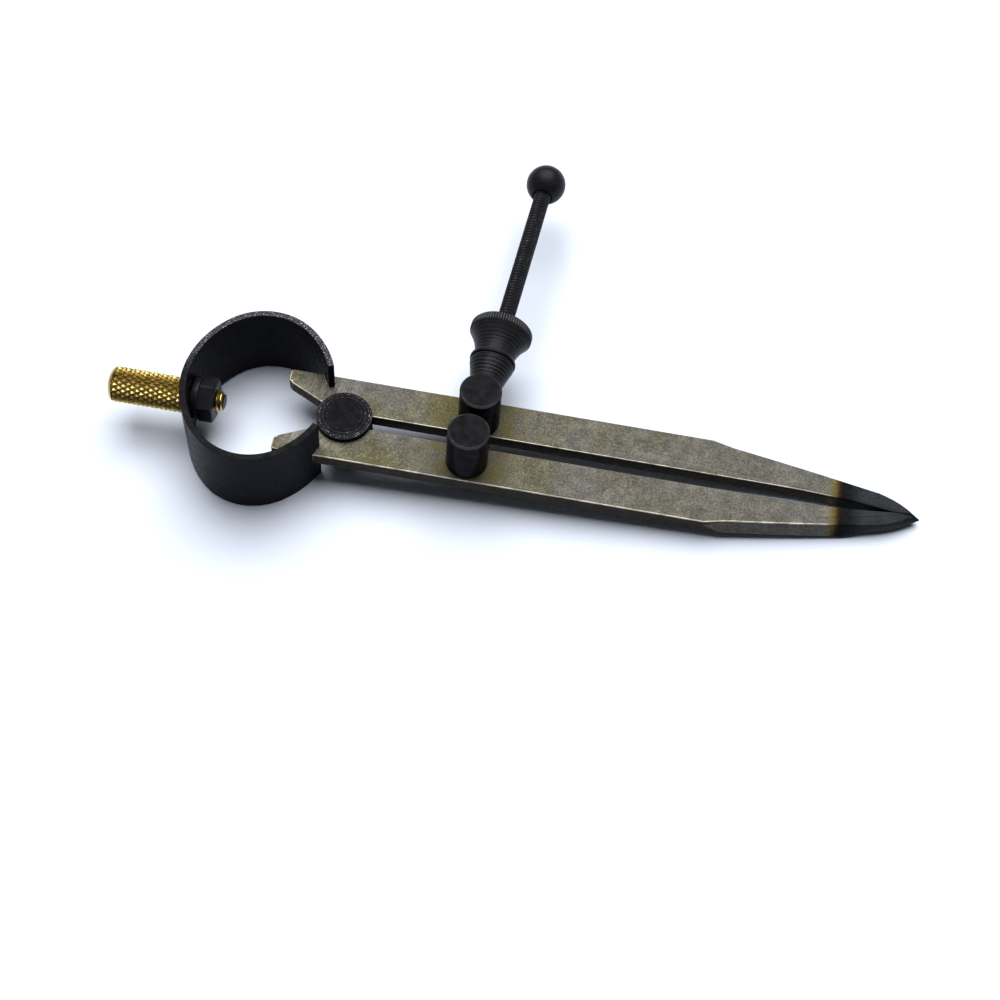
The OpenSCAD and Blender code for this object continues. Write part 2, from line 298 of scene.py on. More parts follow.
# Adjusting nut: its foot stands on the washer, and heights are from the foot
NUT_AT = SEAT_AT + SEAT_LEN
NUT_BORE_R = 1.56
FOOT_R = 3.25
FOOT_LEN = 0.7
FOOT_EDGE = 0.22
FOOT_BREAK = 0.07
FOOT_WEAR = 0.4
FLARE_LOW_R = 2.8
FLARE_HIGH_R = 4.25
FLARE_LIFT = 0.04
FLARE_END = 4.7
FLARE_HOLLOW = 7.0
FLARE_WEAR = 0.5
RIM_R = 4.45
RIM_END = 6.0
RIM_EDGE = 0.2
RIM_FLAT = 0.9
WELL_LEDGE = 0.6
WELL_DEEP = 0.35
TEETH = 72
TOOTH_SIDES = 5
TOOTH_DEEP = 0.13
TOOTH_MARGIN = 0.05

joints = {joint["name"]: joint for joint in frame["joints"]}
fulcrum_at = Vector(joints["far_leg_swing"]["pos_m"])
near_post_at = Vector(joints["screw_post_swivel"]["pos_m"])
far_post_at = Vector(joints["guide_post_swivel"]["pos_m"])
screw_line = Vector(joints["nut_spin"]["axis"])
screw_from = Vector((near_post_at.x, near_post_at.y, joints["nut_spin"]["pos_m"][2]))

# Sockets go by number where others share their names. A map range has its value at 0, the range that this
# comes from at 1 and 2 and the range that it goes to at 3 and 4. A colour mix has these
MIX_A, MIX_B, MIX_OUT = 6, 7, 2


def linear(code):
    """An sRGB hex colour as linear red, green, blue and alpha."""
    shares = [int(code[k : k + 2], 16) / 255 for k in (1, 3, 5)]
    return [s / 12.92 if s <= 0.04045 else ((s + 0.055) / 1.055) ** 2.4 for s in shares] + [1.0]


def per(size):
    """The texture scale at which a pattern's features are about this many millimetres wide."""
    return 1 / (size * MM)


def add(tree, kind, sockets=None, stops=(), **settings):
    """Adds a node with its settings, values and links, and a colour ramp's stops, the two ends first."""
    made = tree.nodes.new(kind)
    for name, value in settings.items():
        setattr(made, name, value)
    for key, value in (sockets or {}).items():
        if isinstance(value, bpy.types.NodeSocket):
            tree.links.new(value, made.inputs[key])
        else:
            made.inputs[key].default_value = value
    for k, (spot, colour) in enumerate(stops):
        ramp = made.color_ramp.elements
        stop = ramp[k] if k < 2 else ramp.new(spot)
        stop.position = spot
        stop.color = linear(colour)
    return made


def new_finish(name):
    """A material with its tree, its shader and the surface's place on the piece."""
    finish = bpy.data.materials.new(name)
    finish.use_nodes = True
    tree = finish.node_tree
    place = add(tree, "ShaderNodeTexCoord").outputs["Object"]
    return finish, tree, tree.nodes["Principled BSDF"], place


def ground_steel():
    """Flat-ground carbon steel: dull grey with olive stains, a fine grain and tiny pits. Its edges are
    rubbed bright, with a painted highlight on those that face the near side and up, and the bar's sides
    keep a dark scale. It was brushed across around the fulcrum, and heat has drawn the points through
    straw and brown to blue-black."""
    finish, tree, shader, place = new_finish("ground_carbon_steel")
    stain, cloud, grain = (
        add(tree, "ShaderNodeTexNoise", {"Vector": place, "Scale": per(size), "Detail": 4.0}).outputs[0]
        for size in (STAIN_SIZE, CLOUD_SIZE, GRAIN_SIZE))
    along = add(tree, "ShaderNodeSeparateXYZ", {0: place}).outputs[0]
    side = add(tree, "ShaderNodeAttribute", attribute_name="side").outputs["Fac"]
    edge = add(tree, "ShaderNodeAttribute", attribute_name="wear").outputs["Fac"]

    # Strokes in two directions, which change over from patch to patch
    lines = []
    for turn in BRUSH_TURNS:
        strokes = add(tree, "ShaderNodeMapping", {
            "Vector": place, "Rotation": (0, 0, math.radians(turn)),
            "Scale": (BRUSH_LEN * MM, BRUSH_WIDTH * MM, MM)}, vector_type="TEXTURE").outputs[0]
        lines.append(add(tree, "ShaderNodeTexNoise", {"Vector": strokes, "Scale": 1.0}).outputs[0])
    patch = add(tree, "ShaderNodeMapRange", {0: stain, 1: STROKE_CHANGE[0], 2: STROKE_CHANGE[1]}).outputs[0]
    stroke = add(tree, "ShaderNodeMix", {0: patch, 2: lines[0], 3: lines[1]}).outputs[0]

    # Nearness to the brushed spot and to the two posts, as seen from above
    flat = add(tree, "ShaderNodeVectorMath", {0: place, 1: (1, 1, 0)}, operation="MULTIPLY").outputs[0]
    brush_at = fulcrum_at + Vector((BRUSHED_AT * MM, 0, 0))
    near = []
    for spot, (full, none) in ((brush_at, BRUSHED_TO), (near_post_at, POST_OIL), (far_post_at, POST_OIL)):
        away = add(tree, "ShaderNodeVectorMath", {0: flat, 1: (spot.x, spot.y, 0)},
                   operation="DISTANCE").outputs[1]
        near.append(add(tree, "ShaderNodeMapRange", {0: away, 1: none * MM, 2: full * MM}).outputs[0])
    brushed = add(tree, "ShaderNodeMapRange", {0: near[0], 3: BRUSHED_ELSEWHERE, 4: 1.0}).outputs[0]
    brushed = add(tree, "ShaderNodeMath", {0: brushed, 1: stroke}, operation="MULTIPLY").outputs[0]
    oiled = add(tree, "ShaderNodeMath", {0: near[1], 1: near[2]}, operation="MAXIMUM").outputs[0]
    oiled = add(tree, "ShaderNodeMath", {0: oiled, 1: cloud}, operation="MULTIPLY").outputs[0]

    # The rubbed edges' wear, which also carries a painted highlight on edges that face the near side and up
    rubbed = add(tree, "ShaderNodeMapRange", {
        0: cloud, 1: RUBBED_GLINT_NOISE[0], 2: RUBBED_GLINT_NOISE[1], 3: RUBBED_GLINT_LEAST, 4: 1.0}).outputs[0]
    rubbed = add(tree, "ShaderNodeMath", {0: edge, 1: rubbed}, operation="MULTIPLY").outputs[0]
    handled = add(tree, "ShaderNodeMapRange", {
        0: along, 1: fulcrum_at.x, 2: fulcrum_at.x + OLIVE_TO * MM, 3: 1.0, 4: OLIVE_LEAST}).outputs[0]
    olive = add(tree, "ShaderNodeMapRange", {0: stain, 1: OLIVE_NOISE[0], 2: OLIVE_NOISE[1]}).outputs[0]
    olive = add(tree, "ShaderNodeMath", {0: olive, 1: handled}, operation="MULTIPLY").outputs[0]

    # Each colour follows a pattern: there is none of it at one value, and its largest share at another
    colour = linear(LEG_GREY)
    for code, pattern, none, full, most in (
            (OLIVE_STAIN, olive, 0.0, 1.0, 1.0),
            (PALE_CLOUD, cloud, 0.5, 0.75, 0.2),
            (DARK_CLOUD, cloud, 0.5, 0.25, 0.2),
            (PALE_GRAIN, grain, 0.5, 0.7, 0.62),
            (DARK_GRAIN, grain, 0.5, 0.3, 0.55),
            (BRUSH_LINE, brushed, 0.42, 0.62, 0.58),
            (OIL_STAIN, oiled, 0.3, 0.65, 0.8),
            (DARK_PIT, grain, 0.31, 0.25, 0.8),
            (SIDE_SCALE, side, 0.0, 1.0, 1.0),
            (RUBBED_GLINT_EDGE, rubbed, 0.0, 1.0, 1.0)):
        share = add(tree, "ShaderNodeMapRange", {0: pattern, 1: none, 2: full, 4: most}).outputs[0]
        colour = add(tree, "ShaderNodeMix", {0: share, MIX_A: colour, MIX_B: linear(code)},
                     data_type="RGBA").outputs[MIX_OUT]

    # The heat's colours, mottled by the grain
    sway = add(tree, "ShaderNodeMath", {0: cloud, 1: TEMPER_SWAY * MM, 2: along},
               operation="MULTIPLY_ADD").outputs[0]
    heat = add(tree, "ShaderNodeMapRange", {
        0: sway, 1: fulcrum_at.x + TEMPER_FROM * MM, 2: fulcrum_at.x + TEMPER_TO * MM}).outputs[0]
    tint = add(tree, "ShaderNodeValToRGB", {0: heat}, stops=TEMPER_TINTS).outputs[0]
    mottle = add(tree, "ShaderNodeMapRange", {
        0: grain, 1: USUAL_NOISE[0], 2: USUAL_NOISE[1], 3: HEAT_MOTTLE[0], 4: HEAT_MOTTLE[1]}).outputs[0]
    tint = add(tree, "ShaderNodeMix", {0: 1.0, MIX_A: tint, MIX_B: mottle},
               data_type="RGBA", blend_type="MULTIPLY").outputs[MIX_OUT]
    cover = add(tree, "ShaderNodeValToRGB", {0: heat}, stops=TEMPER_COVER).outputs[0]
    colour = add(tree, "ShaderNodeMix", {0: cover, MIX_A: colour, MIX_B: tint},
                 data_type="RGBA").outputs[MIX_OUT]

    rough = add(tree, "ShaderNodeMapRange", {
        0: cloud, 1: USUAL_NOISE[0], 2: USUAL_NOISE[1], 3: LEG_ROUGH[0], 4: LEG_ROUGH[1]}).outputs[0]
    relief = add(tree, "ShaderNodeMath", {0: brushed, 1: grain}, operation="ADD").outputs[0]
    bump = add(tree, "ShaderNodeBump", {
        "Height": relief, "Strength": GRAIN_SHOWS, "Distance": GRAIN_DEEP * MM}).outputs[0]
    tree.links.new(colour, shader.inputs["Base Color"])
    tree.links.new(rough, shader.inputs["Roughness"])
    tree.links.new(bump, shader.inputs["Normal"])
    shader.inputs["Metallic"].default_value = 1.0
    return finish


def black_steel(name, skin, rough, shine, thin, bare, chip):
    """Oil-blacked steel: a near-black, faintly blue skin that gives a soft gloss. Where it is worn, a share
    of it is thin all over, and it is rubbed through to bare metal in chips of the given size."""
    finish, tree, shader, place = new_finish(name)
    cloud, flake = (
        add(tree, "ShaderNodeTexNoise", {"Vector": place, "Scale": per(size), "Detail": detail}).outputs[0]
        for size, detail in ((SKIN_SIZE, 4.0), (chip, 3.0)))
    worn = add(tree, "ShaderNodeAttribute", attribute_name="wear").outputs["Fac"]
    chips = add(tree, "ShaderNodeMapRange", {
        0: flake, 1: CHIP_NOISE[0] - bare, 2: CHIP_NOISE[1] - bare, 3: thin}).outputs[0]
    worn = add(tree, "ShaderNodeMath", {0: worn, 1: chips}, operation="MULTIPLY").outputs[0]
    colour = add(tree, "ShaderNodeValToRGB", {0: cloud}, stops=tuple(zip(SKIN_NOISE, skin))).outputs[0]
    colour = add(tree, "ShaderNodeMix", {0: worn, MIX_A: colour, MIX_B: linear(BARE_STEEL)},
                 data_type="RGBA").outputs[MIX_OUT]
    dull = add(tree, "ShaderNodeMapRange", {
        0: cloud, 1: USUAL_NOISE[0], 2: USUAL_NOISE[1],
        3: rough + SKIN_ROUGH[0], 4: rough + SKIN_ROUGH[1]}).outputs[0]
    tree.links.new(colour, shader.inputs["Base Color"])
    tree.links.new(worn, shader.inputs["Metallic"])
    tree.links.new(dull, shader.inputs["Roughness"])
    shader.inputs["Specular IOR Level"].default_value = shine
    return finish


def knurled_brass():
    """Yellow brass, rolled into a coarse diamond knurl: bright golden crests over grooves that are dark
    with oil and painted shade.
    """
    finish, tree, shader, place = new_finish("knurled_brass")
    cloud = add(tree, "ShaderNodeTexNoise", {
        "Vector": place, "Scale": per(BRASS_SIZE), "Detail": 4.0}).outputs[0]
    height = add(tree, "ShaderNodeAttribute", attribute_name="wear").outputs["Fac"]
    # The knurl's height picks the colour: grooves darkened for oil and as painted shade
    crest = add(tree, "ShaderNodeMath", {0: cloud, 1: BRASS_CLOUD, 2: height},
                operation="MULTIPLY_ADD").outputs[0]
    colour = add(tree, "ShaderNodeValToRGB", {0: crest}, stops=BRASS_OIL_AND_SHADE_TINTS).outputs[0]
    rough = add(tree, "ShaderNodeMapRange", {0: crest, 3: BRASS_ROUGH[0], 4: BRASS_ROUGH[1]}).outputs[0]
    tree.links.new(colour, shader.inputs["Base Color"])
    tree.links.new(rough, shader.inputs["Roughness"])
    shader.inputs["Metallic"].default_value = 1.0
    return finish


def pale_floor():
    """A smooth white sheet: matt, with hardly any gloss."""
    finish, _, shader, _ = new_finish("white_sheet")
    shader.inputs["Base Color"].default_value = linear(FLOOR_COLOUR)
    shader.inputs["Roughness"].default_value = FLOOR_ROUGH
    shader.inputs["Specular IOR Level"].default_value = FLOOR_SHINE
    return finish


def groove_tree():
    """Cuts two sets of helical V grooves into a piece that is turned about its own Z axis. A thread has one
    groove, a diamond knurl two crossing sets. The height left is kept as the wear attribute."""
    tree = bpy.data.node_groups.new("helical_grooves", "GeometryNodeTree")
    tree.interface.new_socket("piece", in_out="INPUT", socket_type="NodeSocketGeometry")
    for name in ("depth", "grooves", "lean", "counter_lean", "low", "high", "sway", "sway_scale"):
        tree.interface.new_socket(name, in_out="INPUT", socket_type="NodeSocketFloat")
    tree.interface.new_socket("finish", in_out="INPUT", socket_type="NodeSocketMaterial")
    tree.interface.new_socket("carved", in_out="OUTPUT", socket_type="NodeSocketGeometry")
    given = add(tree, "NodeGroupInput").outputs
    place = add(tree, "GeometryNodeInputPosition").outputs[0]
    x, y, z = add(tree, "ShaderNodeSeparateXYZ", {0: place}).outputs

    angle = add(tree, "ShaderNodeMath", {0: y, 1: x}, operation="ARCTAN2").outputs[0]
    turns = add(tree, "ShaderNodeMath", {0: angle, 1: 1 / math.tau}, operation="MULTIPLY").outputs[0]
    around = add(tree, "ShaderNodeMath", {0: turns, 1: given["grooves"]}, operation="MULTIPLY").outputs[0]
    drift = add(tree, "ShaderNodeTexNoise", {"Vector": place, "Scale": given["sway_scale"]}).outputs[0]
    drift = add(tree, "ShaderNodeMath", {0: drift, 1: 0.5}, operation="SUBTRACT").outputs[0]
    around = add(tree, "ShaderNodeMath", {0: drift, 1: given["sway"], 2: around},
                 operation="MULTIPLY_ADD").outputs[0]

    # The walls of each set rise from 0 in a groove to 0.5 half-way to the next
    walls = []
    for lean in ("lean", "counter_lean"):
        phase = add(tree, "ShaderNodeMath", {0: z, 1: given[lean], 2: around},
                    operation="MULTIPLY_ADD").outputs[0]
        walls.append(add(tree, "ShaderNodeMath", {0: phase, 1: 0.5}, operation="PINGPONG").outputs[0])
    lower = add(tree, "ShaderNodeMath", {0: walls[0], 1: walls[1]}, operation="MINIMUM").outputs[0]
    height = add(tree, "ShaderNodeMath", {0: lower, 1: 2.0}, operation="MULTIPLY").outputs[0]

    above = add(tree, "ShaderNodeMath", {0: z, 1: given["low"]}, operation="GREATER_THAN").outputs[0]
    below = add(tree, "ShaderNodeMath", {0: z, 1: given["high"]}, operation="LESS_THAN").outputs[0]
    inside = add(tree, "ShaderNodeMath", {0: above, 1: below}, operation="MULTIPLY").outputs[0]
    missing = add(tree, "ShaderNodeMath", {0: 1.0, 1: height}, operation="SUBTRACT").outputs[0]
    missing = add(tree, "ShaderNodeMath", {0: missing, 1: inside}, operation="MULTIPLY").outputs[0]
    inward = add(tree, "ShaderNodeMath", {0: missing, 1: given["depth"]}, operation="MULTIPLY").outputs[0]
    inward = add(tree, "ShaderNodeMath", {0: inward, 1: -1.0}, operation="MULTIPLY").outputs[0]
    outward = add(tree, "ShaderNodeCombineXYZ", {0: x, 1: y}).outputs[0]
    outward = add(tree, "ShaderNodeVectorMath", {0: outward}, operation="NORMALIZE").outputs[0]
    move = add(tree, "ShaderNodeVectorMath", {0: outward, "Scale": inward}, operation="SCALE").outputs[0]

    marked = add(tree, "GeometryNodeStoreNamedAttribute", {
        "Geometry": given["piece"], "Selection": inside, "Name": "wear", "Value": height}).outputs[0]
    cut = add(tree, "GeometryNodeSetPosition", {"Geometry": marked, "Offset": move}).outputs[0]
    real = add(tree, "GeometryNodeRealizeInstances", {"Geometry": cut}).outputs[0]
    done = add(tree, "GeometryNodeSetMaterial", {"Geometry": real, "Material": given["finish"]}).outputs[0]
    add(tree, "NodeGroupOutput", {0: done})
    return tree


def carve(piece, **sizes):
    """Cuts grooves into a turned piece and keeps the result as its plain mesh."""
    keys = {s.name: s.identifier for s in grooves.interface.items_tree if s.in_out == "INPUT"}
    step = piece.modifiers.new("grooves", "NODES")
    step.node_group = grooves
    for name, value in sizes.items():
        step[keys[name]] = value
    keep_result(piece)


def keep_result(piece):
    """Turns what a piece's modifiers make into its plain mesh."""
    bpy.context.view_layer.update()
    seen = piece.evaluated_get(bpy.context.evaluated_depsgraph_get())
    mesh = bpy.data.meshes.new_from_object(seen)
    old = piece.data
    piece.modifiers.clear()
    piece.data = mesh
    bpy.data.meshes.remove(old)
    mesh.name = piece.name


def new_piece(name, shape, finish):
    """An object from a finished bmesh, at the origin, with its material."""
    bmesh.ops.dissolve_degenerate(shape, dist=LEAST_EDGE * MM, edges=shape.edges)
    mesh = bpy.data.meshes.new(name)
    shape.to_mesh(mesh)
    shape.free()
    mesh.materials.append(finish)
    piece = bpy.data.objects.new(name, mesh)
    bpy.context.scene.collection.objects.link(piece)
    return piece


def stepped(outline, step):
    """An outline with points added, so that none of its straight runs is longer than a step."""
    points = [outline[0]]
    for start, end in zip(outline, outline[1:]):
        count = max(1, math.ceil(math.dist(start[:2], end[:2]) / step))
        for k in range(1, count + 1):
            points.append([a + (b - a) * k / count for a, b in zip(start[:2], end)] + list(end[2:]))
    return points


def turned(name, outline, sides, finish):
    """A piece turned about its own Z axis from (radius, height) points in millimetres. A third value marks
    the face that ends at the point as worn. An outline that ends where it starts leaves a bore."""
    shape = bmesh.new()
    wear = shape.faces.layers.float.new("wear")
    bored = outline[0][:2] == outline[-1][:2]
    rings = []
    for radius, height, *_ in outline[:-1] if bored else outline:
        count = sides if radius else 1
        angles = [math.tau * k / count for k in range(count)]
        rings.append([shape.verts.new((radius * MM * math.cos(a), radius * MM * math.sin(a), height * MM))
                      for a in angles])
    if bored:
        rings.append(rings[0])
    for point, low, high in zip(outline[1:], rings, rings[1:]):
        for k in range(sides):
            corners = [low[k % len(low)], low[(k + 1) % len(low)]]
            corners += [high[(k + 1) % len(high)], high[k % len(high)]]
            face = shape.faces.new(dict.fromkeys(corners))
            face[wear] = point[2] if len(point) > 2 else 0.0
    bmesh.ops.recalc_face_normals(shape, faces=shape.faces)
    return new_piece(name, shape, finish)


def ring_wear(k):
    """How much a turning ring is worn: unevenly from one ring to the next, and only on its outer slope."""
    return abs(math.sin(RING_BEAT * k)) * (k % 2)


def rounded_shape(node, edge, bevel_from=BEVEL_FROM):
    """A solid's own shape with its sharp edges rounded. The rounded faces are marked as worn."""
    shape = bmesh.new()
    shape.from_mesh(frame["nodes"][node].data)
    wear = shape.faces.layers.float.new("wear")
    bmesh.ops.remove_doubles(shape, verts=shape.verts, dist=LEAST_EDGE * MM)
    bmesh.ops.dissolve_limit(
        shape, angle_limit=math.radians(FLAT_WITHIN), verts=shape.verts, edges=shape.edges)
    sharp = [e for e in shape.edges if e.is_manifold and e.calc_face_angle() > math.radians(bevel_from)]
    made = bmesh.ops.bevel(
        shape, geom=sharp, offset=edge * MM, segments=BEVEL_STEPS, profile=BEVEL_ROUND, affect="EDGES")
    for face in made["faces"]:
        face[wear] = 1.0
    return shape


def split(shape, level, across, **options):
    """Cuts a shape's faces along a plane."""
    bmesh.ops.bisect_plane(
        shape, geom=[*shape.verts, *shape.edges, *shape.faces], plane_co=level, plane_no=across, **options)


def smooth(piece, angle):
    """Shades a piece smooth, with large faces kept flat and edges over the angle kept sharp."""
    piece.data.shade_smooth()
    piece.data.set_sharp_from_angle(angle=math.radians(angle))
    step = piece.modifiers.new("normals", "WEIGHTED_NORMAL")
    step.keep_sharp = True
    keep_result(piece)


def put(piece, origin, axis):
    """Sets a turned piece down with its Z axis along the given one."""
    turn = Vector(axis).to_track_quat("Z", "X").to_matrix().to_4x4()
    piece.data.transform(Matrix.Translation(origin) @ turn)


def stand_for(piece, node, body):
    """The piece rides on the body, in place of the solid, which is hidden."""
    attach(piece, body)
    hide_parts(node)


def make_leg(node, body):
    """A ground leg, with the edges of its bar rubbed round. Their wear doubles as a painted highlight, kept
    on the near side of the upper face and dimmed where edges face away or down. The bar's sides are darker
    than its ground faces."""
    shape = rounded_shape(node, LEG_EDGE)
    side = shape.faces.layers.float.new("side")
    wear = shape.faces.layers.float["wear"]
    for face in shape.faces:
        if not face[wear] and abs(face.normal.z) < SIDE_RISE:
            face[side] = 1.0
        # Painted highlight: edges below the middle or facing away keep only a small share of their bright
        # wear
        if face.calc_center_median().z < fulcrum_at.z or face.normal.y > AWAY:
            face[wear] *= UNLIT_EDGE_SHARE
    piece = new_piece("ground_" + node, shape, steel)
    smooth(piece, SHARP_BAR)
    stand_for(piece, node, body)


def make_bow():
    """The bow spring in two halves, each bending between the handle's end and its own leg. The strip's
    sheared rims are duller than its faces, and worn along the far half."""
    for half, body, name in ((1, "far_leg_body", "bow_far_half"), (-1, "near_leg_body", "bow_near_half")):
        shape = rounded_shape("bow_spring", BOW_EDGE)
        wear = shape.faces.layers.float["wear"]
        split(shape, fulcrum_at, (0, half, 0), clear_inner=True)
        bmesh.ops.edgeloop_fill(shape, edges=[e for e in shape.edges if e.is_boundary])
        bmesh.ops.recalc_face_normals(shape, faces=shape.faces)
        for k in range(1, RIM_FADE_STEPS + 1):
            split(shape, fulcrum_at + Vector((0, RIM_FADE * MM * k / RIM_FADE_STEPS, 0)), (0, 1, 0))
        for face in shape.faces:
            if abs(face.normal.z) > RIM_RISE:
                share = (face.calc_center_median().y - fulcrum_at.y) / (RIM_FADE * MM)
                face[wear] = RIM_WEAR[0] + (RIM_WEAR[1] - RIM_WEAR[0]) * min(1.0, max(0.0, share))
                face.material_index = 1
            else:
                face[wear] *= BOW_EDGE_WEAR
        piece = new_piece(name, shape, strip)
        piece.data.materials.append(satin)
        smooth(piece, SHARP_BAR)
        still = Vector((fulcrum_at.x - BOW_STILL * MM, fulcrum_at.y, fulcrum_at.z))
        free = Vector((fulcrum_at.x - BOW_FREE * MM, fulcrum_at.y, fulcrum_at.z))
        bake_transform(piece, "head", body, start=still, end=free)
        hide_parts("bow_spring")


def make_fulcrum():
    """The roller: two flanges with turning rings, a flat middle, a sloping and chamfered rim and a small
    centre mark."""
    face_r = FLANGE_R - FLANGE_EDGE
    count = round(2 * face_r / RING_STEP)
    face = []
    for k in range(2, count + 1):
        radius = face_r * k / count
        slope = max(0.0, radius - FLANGE_FLAT_R) / (face_r - FLANGE_FLAT_R)
        worn = (FACE_WEAR[0] + FACE_WEAR[1] * slope) * ring_wear(k)
        face.append((radius, FLANGE_HIGH - FLANGE_DROP * slope - RING_DEEP * (k % 2), worn))
    rim = FLANGE_HIGH - FLANGE_DROP
    upper = [(0, FLANGE_HIGH - CENTRE_DEEP[0]), (CENTRE_R, FLANGE_HIGH - CENTRE_DEEP[1]), *face,
             (FLANGE_R - FLANGE_BREAK[0], rim - FLANGE_BREAK[1], FLANGE_WEAR[0]),
             (FLANGE_R, rim - FLANGE_EDGE, FLANGE_WEAR[1]), (FLANGE_R, FLANGE_LOW + FLANGE_UNDER),
             (FLANGE_R - FLANGE_UNDER, FLANGE_LOW, FLANGE_WEAR[2]), (WAIST_R, FLANGE_LOW)]
    lower = [(p[0], -p[1], *p[2:]) for p in reversed(upper)]
    piece = turned("turned_fulcrum", upper + lower, ROUND_SIDES, satin)
    smooth(piece, SHARP_FITTING)
    put(piece, fulcrum_at, (0, 0, 1))
    stand_for(piece, "fulcrum_roller", "fulcrum")


def make_handle():
    """The brass handle: a diamond-knurled grip outside the bow and a threaded shank through it."""
    tip = SHANK_R - SHANK_DEEP
    dome = [(GRIP_R - inward, GRIP_LEN - before, GRIP_END_WEAR) for inward, before in GRIP_DOME]
    outline = [(0, -SHANK_LEN), (tip * SHANK_TIP_SHARE, -SHANK_LEN), (tip, SHANK_TIP - SHANK_LEN),
               (SHANK_R, SHANK_CONE - SHANK_LEN), (SHANK_R, 0), (GRIP_R - GRIP_FOOT, 0), (GRIP_R, GRIP_FOOT),
               (GRIP_R, GRIP_LEN - GRIP_EDGE), *dome, (0, GRIP_LEN, GRIP_FACE_WEAR)]
    piece = turned("knurled_handle", stepped(outline, FINE_STEP), KNURL_SIDES * KNURL_AROUND, brass)
    carve(piece, depth=KNURL_DEEP * MM, grooves=float(KNURL_AROUND),
          lean=per(KNURL_PITCH), counter_lean=-per(KNURL_PITCH),
          low=KNURL_FROM * MM, high=(GRIP_LEN - KNURL_BARE) * MM,
          sway=KNURL_SWAY, sway_scale=per(KNURL_SWAY_SIZE), finish=brass)
    carve(piece, depth=SHANK_DEEP * MM, grooves=1.0,
          lean=-per(SHANK_PITCH), counter_lean=-per(SHANK_PITCH),
          low=(SHANK_FROM - SHANK_LEN) * MM, high=-SHANK_BARE * MM, finish=brass)
    smooth(piece, SHARP_KNURL)
    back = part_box("handle")[0].x
    put(piece, (back + GRIP_LEN * MM, fulcrum_at.y, fulcrum_at.z), (-1, 0, 0))
    stand_for(piece, "handle", "head")


def make_hex_nut():
    """The shank's hexagon nut, its corners turned off at both ends."""
    low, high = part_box("handle_nut")
    thick = (high.x - low.x) / MM
    piece = new_piece("hex_nut", rounded_shape("handle_nut", FITTING_EDGE), plain)
    cone = turned("corner_cone", [
        (0, 0), (HEX_R - HEX_EDGE, 0), (HEX_R + HEX_OUT, HEX_DOWN), (HEX_R + HEX_OUT, thick - HEX_DOWN),
        (HEX_R - HEX_EDGE, thick), (0, thick)], ROUND_SIDES, plain)
    put(cone, (low.x, fulcrum_at.y, fulcrum_at.z), (1, 0, 0))
    step = piece.modifiers.new("corners", "BOOLEAN")
    step.operation = "INTERSECT"
    step.object = cone
    keep_result(piece)
    bpy.data.objects.remove(cone)
    smooth(piece, SHARP_FITTING)
    stand_for(piece, "handle_nut", "head")


def make_lock_washer():
    """The split spring washer between the hexagon nut and the bow, its edges softened."""
    piece = new_piece("spring_washer", rounded_shape("lock_washer", FITTING_EDGE), plain)
    smooth(piece, SHARP_FITTING)
    stand_for(piece, "lock_washer", "head")


def make_posts():
    """The two swivel posts, with worn chamfers round their tops, painted brighter on the near side as a
    highlight.
    """
    for node, body in (("near_post", "screw_post"), ("far_post", "guide_post")):
        shape = rounded_shape(node, FITTING_EDGE)
        wear = shape.faces.layers.float["wear"]
        for face in shape.faces:
            chamfer = CHAMFER_RISE[0] < face.normal.z < CHAMFER_RISE[1]
            # Painted highlight: chamfers that face the near side get more of the bright wear
            front = max(0.0, -face.normal.y)
            face[wear] = CHAMFER_WEAR_AND_GLINT[0] + CHAMFER_WEAR_AND_GLINT[1] * front if chamfer else 0.0
        piece = new_piece("swivel_" + node, shape, gloss)
        smooth(piece, SHARP_FITTING)
        stand_for(piece, node, body)


def make_screw():
    """The cross screw with its full thread, and the ball on its end."""
    outline = [(0, SCREW_FROM), (THREAD_R, SCREW_FROM), (THREAD_R, SCREW_TO), (0, SCREW_TO)]
    piece = turned("threaded_screw", stepped(outline, THREAD_PITCH / THREAD_ROWS), THREAD_SIDES, thread)
    carve(piece, depth=THREAD_DEEP * MM, grooves=1.0,
          lean=-per(THREAD_PITCH), counter_lean=-per(THREAD_PITCH),
          low=SCREW_FROM * MM, high=SCREW_TO * MM, finish=thread)
    smooth(piece, SHARP_THREAD)
    put(piece, screw_from, screw_line)
    stand_for(piece, "adjusting_screw", "screw_post")

    ball = new_piece("ball_end", rounded_shape("screw_ball", FITTING_EDGE, BALL_BEVEL_FROM), plain)
    smooth(ball, SHARP_FITTING)
    stand_for(ball, "screw_ball", "screw_post")


